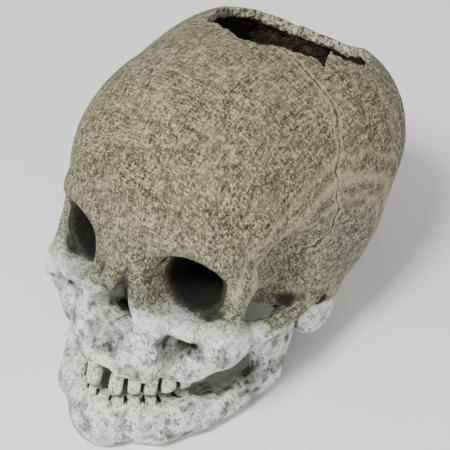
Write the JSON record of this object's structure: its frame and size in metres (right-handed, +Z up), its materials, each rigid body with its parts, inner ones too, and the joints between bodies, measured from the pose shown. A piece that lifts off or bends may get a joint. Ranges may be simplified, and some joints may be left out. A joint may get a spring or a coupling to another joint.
{
  "type": "aquarium ornament",
  "caption": "Hollow skull ornament with a broken-open crown, seated jaw, rear air inlet and a removable air stone inside.",
  "frame": {"origin": "centre of the bounding box, at the ground", "axes": "+Z up, -Y the way the face looks, +X to the skull's left"},
  "size_m": [0.121, 0.1896, 0.1417],
  "materials": {
    "skull_paint": "hand-painted cast resin, khaki with fine brown mottling, greyer and paler on the face",
    "jaw_paint": "hand-painted cast resin, off-white with black speckle",
    "black_rubber": "matt",
    "black_plastic": "moulded",
    "clear_silicone": "translucent silicone",
    "white_nylon": "moulded",
    "blue_stone": "sintered and porous"
  },
  "bodies": {
    "ornament": {"skull_casting": "skull_paint", "jaw_casting": "jaw_paint", "inlet_grommet": "black_rubber", "inlet_connector": "black_plastic", "inner_air_tube": "clear_silicone", "stone_pedestal": "black_plastic", "pedestal_screw_left": "white_nylon", "pedestal_screw_right": "white_nylon"},
    "stone": {"stone_stem": "black_plastic", "air_stone": "blue_stone"}
  },
  "joints": [
    {"name": "stone_pull", "type": "slide", "parent": "ornament", "child": "stone", "axis": [0, 0, 1], "range_m": [0, 0.01]}
  ]
}
